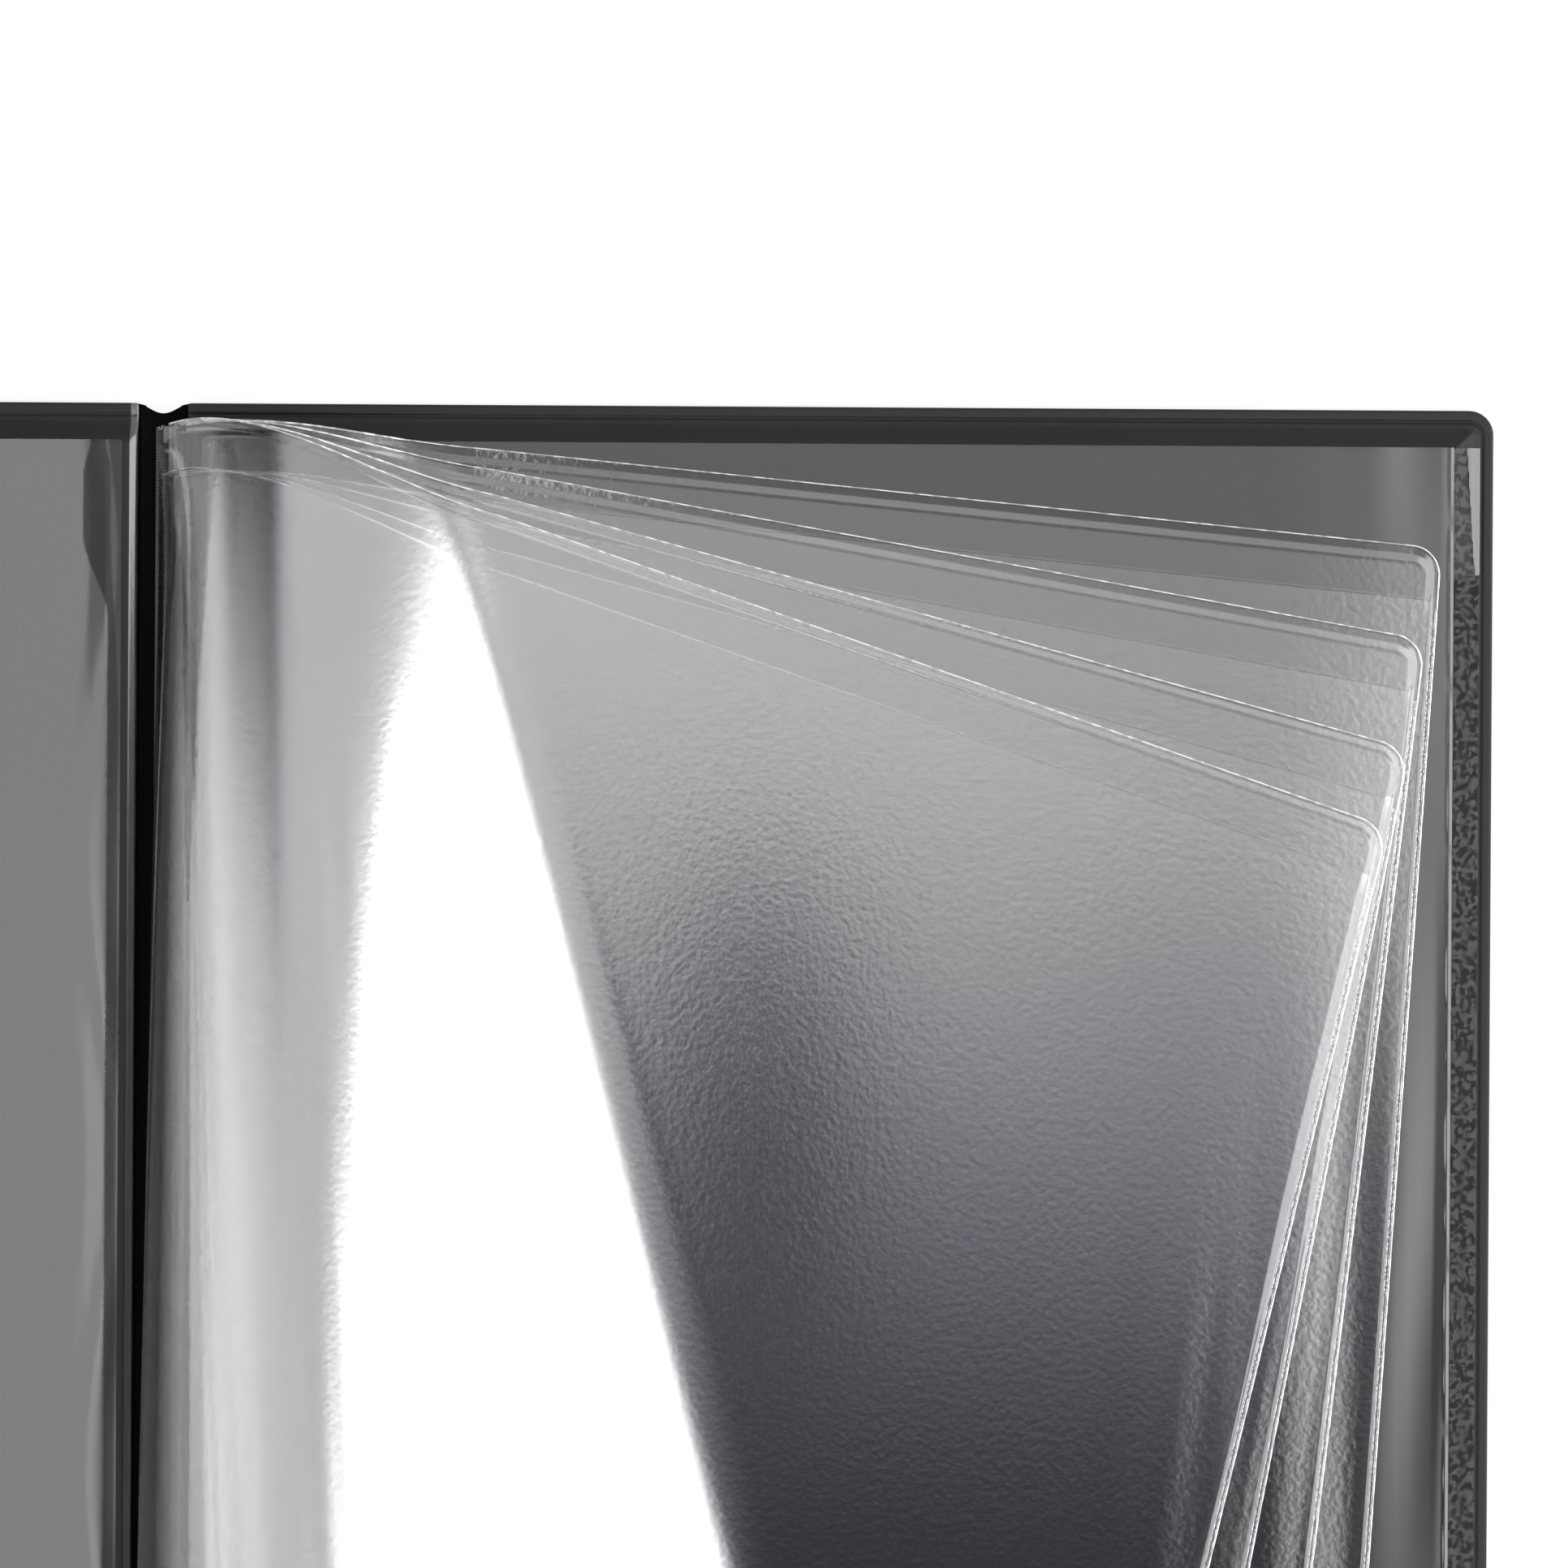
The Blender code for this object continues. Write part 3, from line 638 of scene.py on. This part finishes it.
class Fan:
    # one sleeve's middle surface as a function of s, along the page from the root, and t, down from the top
    def __init__(self, number):
        swing, lean = radians(sleeve["swing"][number]), radians(sleeve["lean"][number])
        self.number = number
        self.along = np.array([np.cos(swing), -np.sin(swing)])
        self.down = np.array([-np.sin(lean), -np.cos(lean)])
        self.rootX = sleeve["rootShift"] + (1.5 - number) * sleeve["rootPitch"]
        self.pivot = np.array([sleeve["rootShift"] + sleeve["fanReach"],
                               sleeve["rootTop"] + sleeve["fanRise"]])
        self.slack = sleeve["slack"] + number * sleeve["slackStep"]
        self.pivotRun = np.hypot(self.pivot[0] - self.rootX, sleeve["fanRise"]) + self.slack
        self.landing = sleeve["landing"] + number * sleeve["landingStep"]
        self.growth = sleeve["growth"] + number * sleeve["growthStep"] + np.sin(lean)
        self.leaf = sleeve["leafHeight"] + number * sleeve["leafPitch"]
        self.table = np.linspace(-2 * mm, sleeve["height"] + 2 * mm, 240)
        length, chord = self.lengthAt(self.table), self.chordAt(self.table)
        reach = np.hypot(chord[..., 0], chord[..., 1])
        self.starts, self.crests = solveBow(reach / length, (self.leaf - sleeve["rootHeight"]) / length)

    def lengthAt(self, t):
        return self.landing + self.growth * t + self.slack

    def rootAt(self, t):
        return np.stack([np.full_like(t, self.rootX), sleeve["rootTop"] - t], axis=-1)

    def chordAt(self, t):
        past = (self.lengthAt(t) - self.pivotRun)[..., None] * self.along
        return self.pivot + past + t[..., None] * self.down - self.rootAt(t)

    def place(self, s, t):
        # bow over the straight line from the root to the landing; its flank swells back over the spine and
        # slides up along it, so that the top edge leaves the root level; past the landing a flat leaf
        length, chord = self.lengthAt(t), self.chordAt(t)
        reach = np.hypot(chord[..., 0], chord[..., 1])
        run = np.minimum(s, length)
        start, crest = np.interp(t, self.table, self.starts), np.interp(t, self.table, self.crests)
        share = run / length
        cosine, sine = bowMeans(share, start, crest)
        climb = np.clip(share / np.minimum(crest, 1), 0, 1)
        depth = np.maximum(t, 0) / sleeve["bulgeAt"]
        swell = sleeve["bulge"] * depth * np.exp(1 - depth) * (1 - smooth(*sleeve["bulgeEnd"], t))
        flat = self.rootAt(t) + chord * ((run * cosine - swell * hump(climb)) / reach)[..., None]
        flat = flat + np.maximum(s - length, 0)[..., None] * self.along
        flat[..., 1] += sleeve["slide"][self.number] * hump(share)
        return np.concatenate([flat, (sleeve["rootHeight"] + run * sine)[..., None]], axis=-1)

    def surface(self, s, t, lift):
        # the place moved by lift along the surface's normal
        tiny = 0.05 * mm
        across = self.place(s + tiny, t) - self.place(s - tiny, t)
        down = self.place(s, t + tiny) - self.place(s, t - tiny)
        normal = np.cross(down, across)
        normal /= np.linalg.norm(normal, axis=-1, keepdims=True)
        return self.place(s, t) + normal * lift[..., None]


# slopes from the edge inwards, (distance in mm, slope): the top hem of the two lower and of the two upper
# sleeves, the hem past the corner, the weld
wideHem = ((0, 0.6), (0.15, 0.6), (0.25, -0.4), (0.4, -0.1), (1.5, -0.1), (1.75, 0.055), (2.7, 0.055),
           (2.9, -0.09), (3.3, -0.07), (3.5, 0))
narrowHem = ((0, 0.6), (0.15, 0.6), (0.25, -0.3), (0.55, -0.2), (0.7, 0.055), (1.6, 0.055), (1.75, -0.2),
             (2.1, -0.15), (2.3, 0))
sideHem = ((0, 0.6), (0.15, 0.6), (0.25, -0.3), (0.6, -0.03), (0.9, 0.0), (1.1, 0.13), (2.3, 0.13), (2.5, 0))
weldEdge = ((0, 0.9), (0.1, 0.9), (0.18, -0.6), (0.3, 0), (0.95, 0), (1.05, 0.5), (1.2, 0.5), (1.3, -0.5),
            (1.45, -0.5), (1.55, 0))
# mesh lines of a film, stretches (from, to, spacing) counted from its edges; open is the spacing between,
# across and down
filmLines = {
    "root": ((0, 12 * mm, 0.8 * mm),), "hem": ((0, 3.6 * mm, 0.1 * mm), (3.6 * mm, 6 * mm, 0.3 * mm)),
    "bottom": ((0, 3 * mm, 0.15 * mm), (3 * mm, 6 * mm, 0.3 * mm)), "open": (1.7 * mm, 2.4 * mm),
}


def filmSteps(width, height):
    # columns from the root to the outer edge and rows from the top to the bottom edge
    columns = edgedSteps(width, filmLines["root"], filmLines["open"][0], filmLines["hem"])
    rows = edgedSteps(height, filmLines["hem"], filmLines["open"][1], filmLines["bottom"])
    return np.meshgrid(columns, rows)


def edgeWave(number, side, t):
    # the leaf's outer part lies in shallow waves along its edge
    length, phase = sleeve["waveLength"][number], sleeve["wavePhase"][number]
    turn = 2 * np.pi * side / length + phase + t / sleeve["waveTurn"]
    fade = smooth(*sleeve["waveFrom"], side) * (1 - smooth(*sleeve["waveTo"], side))
    return sleeve["waveDepth"][number] * np.sin(turn) * (fade * smooth(*sleeve["waveBelow"], t))


def makeBackFilm(number, fan):
    # full film: a beaded hem along the top and round the corner, a crushed weld along the other two edges
    width, height, drop = sleeve["width"][number], sleeve["height"], sleeve["frontDrop"]
    s, t = filmSteps(width, height)
    side, top, bottom = width - s, t, height - t
    edge = np.minimum(np.minimum(side, top), bottom)
    newSide, newTop = roundCorner(side, top, sleeve["radius"])
    newSide, newBottom = roundCorner(newSide, height - newTop, sleeve["radius"])
    s, t = width - newSide, height - newBottom
    welded = smooth(drop - sleeve["hemEnd"], drop + sleeve["hemEnd"], t)
    aside = smooth(-sleeve["cornerBlend"], sleeve["cornerBlend"], top - side)
    hem = heightFromSlopes(wideHem if number < 2 else narrowHem, edge) * (1 - aside)
    hem = hem + heightFromSlopes(sideHem, edge) * aside
    weld = heightFromSlopes(weldEdge, edge)
    fade = smooth(*sleeve["hemFade"], s)
    lift = (hem * (1 - welded) + weld * welded) * fade + edgeWave(number, side, t)
    name = "sleeve_%d_backSheet" % (number + 1)
    thing = addObject(name, fan.surface(s, t, lift), gridFaces(*s.shape), clearFilm)
    band = smooth(*sleeve["weldFrom"], edge) * (1 - smooth(*sleeve["weldTo"], edge))
    paint(thing, crushedWeld, band * welded * fade)
    paint(thing, pressedFilm, bump(edge, *sleeve["weldLine"]) * welded * fade)
    cut = sleeve["cutWidth"] + sleeve["rootCut"] * (1 - smooth(*sleeve["rootCutFade"], s))
    paint(thing, cutEdge, (edge < cut) & (s > sleeve["frontStart"]))
    return thing


def makeFrontFilm(number, fan):
    # shorter film in front: starts lower, lies just above the back film, dips over a shoulder into the weld
    inset, drop, start = sleeve["frontInset"], sleeve["frontDrop"], sleeve["frontStart"]
    width = sleeve["width"][number] - inset - start
    height = sleeve["height"] - inset - drop
    s, t = filmSteps(width, height)
    side, bottom = width - s, height - t
    edge = np.minimum(side, bottom)
    lip = sleeve["lip"] * bump(t, *sleeve["lipAt"])
    newSide, newBottom = roundCorner(side, bottom, sleeve["radius"] - inset)
    s, t = width - newSide + start, height - newBottom + drop
    low, high = sleeve["shoulderLow"], sleeve["shoulder"][number]
    reach = high + (low - high) * smooth(*sleeve["shoulderFade"], t)
    rise = sleeve["shoulderFoot"] + (1 - sleeve["shoulderFoot"]) * smooth(0, reach, edge)
    pitch = sleeve["rootShare"] + (1 - sleeve["rootShare"]) * smooth(0, sleeve["fullPitch"], s)
    lift = sleeve["filmPitch"] * rise * pitch + lip + edgeWave(number, side + inset, t)
    name = "sleeve_%d_frontSheet" % (number + 1)
    thing = addObject(name, fan.surface(s, t, lift), gridFaces(*s.shape), clearFilm)
    lipWidth, lipEnd = sleeve["lipCut"]
    paint(thing, cutEdge, (t - drop < lipWidth) & (s < lipEnd))
    return thing


for number in range(4):
    fan = Fan(number)
    body = "sleeve_%d" % (number + 1)
    pair = (makeBackFilm(number, fan), makeFrontFilm(number, fan))
    whole = (sleeve["width"][number], sleeve["height"])
    sizes = (whole, (whole[0] - sleeve["frontInset"] - sleeve["frontStart"],
                     whole[1] - sleeve["frontInset"] - sleeve["frontDrop"]))
    for film, node, flat in zip(pair, ("_back_film", "_front_film"), sizes):
        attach(film, body)
        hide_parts(body + node)
        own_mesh(film)
print("sleeves built")

# camera: it looks straight down, and the frame is as wide as given at frameAt from it
view = {
    "centre": (109.1 * mm, 93.9 * mm), "height": 903.3 * mm, "roll": 0.35, "frame": 274.04 * mm,
    "frameAt": 900.0 * mm, "sensor": 36.0, "nearest": 0.01,
}
camera = bpy.data.objects.new("camera", bpy.data.cameras.new("camera"))
scene.collection.objects.link(camera)
camera.location = (*view["centre"], view["height"])
camera.rotation_euler = (0, 0, radians(view["roll"]))
camera.data.sensor_width = view["sensor"]
camera.data.angle = 2 * atan(view["frame"] / 2 / view["frameAt"])
camera.data.clip_start = view["nearest"]
scene.camera = camera

# soft studio round the object, by the x and y of a direction: each level has the spans over which it sets in
studio = {
    "overhead": 1.06, "nearDark": 0.058, "nearFade": (-0.16, 0.055),
    "clouds": ((-0.005, -0.064, 0.019, 0.055, 0.66), (0.085, -0.03, 0.03, 0.03, 0.12),
               (0.05, 0.14, 0.11, 0.06, -0.6)), "cloudRim": 1.6,
    "backShare": 0.92, "backFade": (0.17, 0.3),
    "leftStart": (-0.06, -0.11), "leftWall": 1.2, "leftNear": 0.92, "leftTurn": (-0.6, -0.35),
    "leftFar": 2.2, "farFrom": (-0.8, -0.95), "farTop": (0.17, 0.05),
    "leftPanel": 3.0, "panelTop": (-0.03, 0.04), "panelTo": (-0.28, -0.4),
    "leftStrip": 2.28, "stripFrom": (-0.116, -0.123), "stripTo": (-0.156, -0.165), "stripTop": (0.075, 0.095),
    "leftBack": 0.06, "backFrom": (0.23, 0.38), "backLeft": (-0.06, -0.26), "backEnd": (-0.92, -0.68),
    "rightWall": 3.4, "rightNear": 1.4, "rightFade": (-0.17, 0.02), "rightStart": (0.76, 0.84),
    "wallTop": 0.212, "wallSlant": 0.13, "wallSoft": (-0.02, 0.02),
    "shade": (0.86, 0.83, 1.0), "shadeTo": (0.1, 0.9),
}


def makeStudio():
    # soft studio as a sphere of light, read by the direction a film mirrors: even overhead, fading to dark
    # towards the near side with a few soft clouds, a bright wall on each side; the camera sees plain white
    world = bpy.data.worlds.new("studio")
    scene.world = world
    world.use_nodes = True
    nodes, links = world.node_tree.nodes, world.node_tree.links
    place = nodes.new("ShaderNodeTexCoord")
    split = nodes.new("ShaderNodeSeparateXYZ")
    links.new(place.outputs["Generated"], split.inputs[0])
    x, y = split.outputs[:2]

    def times(first, second):
        return addMath(nodes, links, "MULTIPLY", first, second)

    def blendTo(under, over, mask):
        gap = addMath(nodes, links, "SUBTRACT", over, under)
        return addMath(nodes, links, "MULTIPLY_ADD", gap, mask, under)

    def between(value, span, first, last):
        return mapRange(nodes, links, value, *studio[span], first, last)

    def comesIn(value, span):
        return between(value, span, 0.0, 1.0)

    def goesOut(value, span):
        return between(value, span, 1.0, 0.0)

    level = between(y, "nearFade", studio["nearDark"], studio["overhead"])
    for cloudX, cloudY, width, height, depth in studio["clouds"]:
        aside = addMath(nodes, links, "MULTIPLY_ADD", x, 1 / width, -cloudX / width)
        ahead = addMath(nodes, links, "MULTIPLY_ADD", y, 1 / height, -cloudY / height)
        away = addMath(nodes, links, "MULTIPLY_ADD", aside, aside, times(ahead, ahead))
        level = times(level, mapRange(nodes, links, away, 0.0, studio["cloudRim"], 1 - depth, 1.0))
    level = times(level, between(y, "backFade", 1.0, studio["backShare"]))
    wall = between(x, "leftTurn", studio["leftWall"], studio["leftNear"])
    wall = blendTo(wall, studio["leftFar"], times(comesIn(x, "farFrom"), comesIn(y, "farTop")))
    wall = blendTo(wall, studio["leftPanel"], times(goesOut(y, "panelTop"), goesOut(x, "panelTo")))
    strip = times(comesIn(x, "stripFrom"), goesOut(x, "stripTo"))
    wall = blendTo(wall, studio["leftStrip"], times(strip, goesOut(y, "stripTop")))
    level = blendTo(level, wall, comesIn(x, "leftStart"))
    backMask = times(comesIn(y, "backFrom"), comesIn(x, "backLeft"))
    level = blendTo(level, studio["leftBack"], times(backMask, comesIn(x, "backEnd")))
    wallEdge = addMath(nodes, links, "MULTIPLY_ADD", x, studio["wallSlant"], studio["wallTop"])
    under = comesIn(addMath(nodes, links, "SUBTRACT", wallEdge, y), "wallSoft")
    right = between(y, "rightFade", studio["rightNear"], studio["rightWall"])
    level = blendTo(level, right, times(under, comesIn(x, "rightStart")))
    path = nodes.new("ShaderNodeLightPath")
    level = blendTo(level, 1.0, path.outputs["Is Camera Ray"])
    tone = nodes.new("ShaderNodeMix")
    tone.data_type = "RGBA"
    tone.inputs["A"].default_value = (*studio["shade"], 1)
    tone.inputs["B"].default_value = (1, 1, 1, 1)
    links.new(comesIn(level, "shadeTo"), tone.inputs["Factor"])
    back = nodes["Background"]
    links.new(tone.outputs["Result"], back.inputs["Color"])
    links.new(level, back.inputs["Strength"])
    world.cycles.sampling_method = "NONE"


makeStudio()


def addStagePiece(name, outline, material):
    # one flat face that belongs to the stage
    mesh = bpy.data.meshes.new(name)
    mesh.from_pydata(outline, [], [tuple(range(len(outline)))])
    mesh.materials.append(material)
    thing = bpy.data.objects.new(name, mesh)
    scene.collection.objects.link(thing)
    return thing


# large flat box of light overhead on the right; its left and far edges are soft, and the far edge slants away
lightBox = {
    "strength": 4.0, "height": 1.5, "left": 0.45, "far": 0.235, "farSlant": 0.302, "soft": 0.12,
    "back": 1.3, "front": -0.9, "right": 3.2,
}


def makeLightBox():
    # even glow, masked by the distance from the left edge and from the slanting far edge
    material = bpy.data.materials.new("boxLight")
    material.use_nodes = True
    nodes, links = material.node_tree.nodes, material.node_tree.links
    nodes.remove(nodes["Principled BSDF"])
    glow = nodes.new("ShaderNodeEmission")
    glow.inputs["Strength"].default_value = lightBox["strength"]
    clear = nodes.new("ShaderNodeBsdfTransparent")
    place = nodes.new("ShaderNodeTexCoord")
    split = nodes.new("ShaderNodeSeparateXYZ")
    links.new(place.outputs["Object"], split.inputs[0])
    x, y = split.outputs[:2]
    soft, edge = lightBox["soft"], lightBox["left"]
    farEdge = addMath(nodes, links, "MULTIPLY_ADD", x, lightBox["farSlant"], lightBox["far"])
    before = addMath(nodes, links, "SUBTRACT", farEdge, y)
    mask = addMath(nodes, links, "MULTIPLY", mapRange(nodes, links, before, -soft, soft, 0.0, 1.0),
                   mapRange(nodes, links, x, edge - soft, edge + soft, 0.0, 1.0))
    mix = nodes.new("ShaderNodeMixShader")
    links.new(mask, mix.inputs[0])
    links.new(clear.outputs[0], mix.inputs[1])
    links.new(glow.outputs[0], mix.inputs[2])
    links.new(mix.outputs[0], nodes["Material Output"].inputs["Surface"])
    material.cycles.emission_sampling = "NONE"
    left, right, back, front = edge - soft, lightBox["right"], lightBox["back"], lightBox["front"]
    outline = [(left, back, 0), (right, back, 0), (right, front, 0), (left, front, 0)]
    box = addStagePiece("lightBox", outline, material)
    box.location = (0, 0, lightBox["height"])
    box.visible_camera = False


makeLightBox()

# dark card on the left that only mirrors show: it stands behind the spine's top end and rises to the back
card = {"x": -0.3, "near": 0.11, "back": 0.7, "low": 0.01, "slant": 0.75, "shade": (0.01, 0.01, 0.012)}


def makeDarkCard():
    x, near, back, low = card["x"], card["near"], card["back"], card["low"]
    high = low + card["slant"] * (back - near)
    material, nodes, links, shader = newMaterial("cardBlack")
    shader.inputs["Base Color"].default_value = (*card["shade"], 1)
    shader.inputs["Roughness"].default_value = 0.9
    outline = [(x, near, 0), (x, back, 0), (x, back, high), (x, near, low)]
    thing = addStagePiece("darkCard", outline, material)
    thing.visible_camera = thing.visible_diffuse = thing.visible_shadow = False


makeDarkCard()

# white floor just below the object; the camera sees it mostly as an even glow
ground = {"half": 4, "level": -0.0004, "shade": (0.9, 0.9, 0.9), "roughness": 0.9, "glow": 0.8}


def makeFloor():
    half, level = ground["half"], ground["level"]
    material, nodes, links, shader = newMaterial("floorWhite")
    shader.inputs["Base Color"].default_value = (*ground["shade"], 1)
    shader.inputs["Roughness"].default_value = ground["roughness"]
    glow = nodes.new("ShaderNodeEmission")
    path = nodes.new("ShaderNodeLightPath")
    mix = nodes.new("ShaderNodeMixShader")
    links.new(addMath(nodes, links, "MULTIPLY", path.outputs["Is Camera Ray"], ground["glow"]), mix.inputs[0])
    links.new(shader.outputs[0], mix.inputs[1])
    links.new(glow.outputs[0], mix.inputs[2])
    links.new(mix.outputs[0], nodes["Material Output"].inputs["Surface"])
    outline = [(-half, -half, level), (half, -half, level), (half, half, level), (-half, half, level)]
    addStagePiece("floor", outline, material)


makeFloor()

scene.view_settings.view_transform = "Standard"
scene.cycles.transparent_max_bounces = 48
scene.cycles.max_bounces = 5
print("stage set")
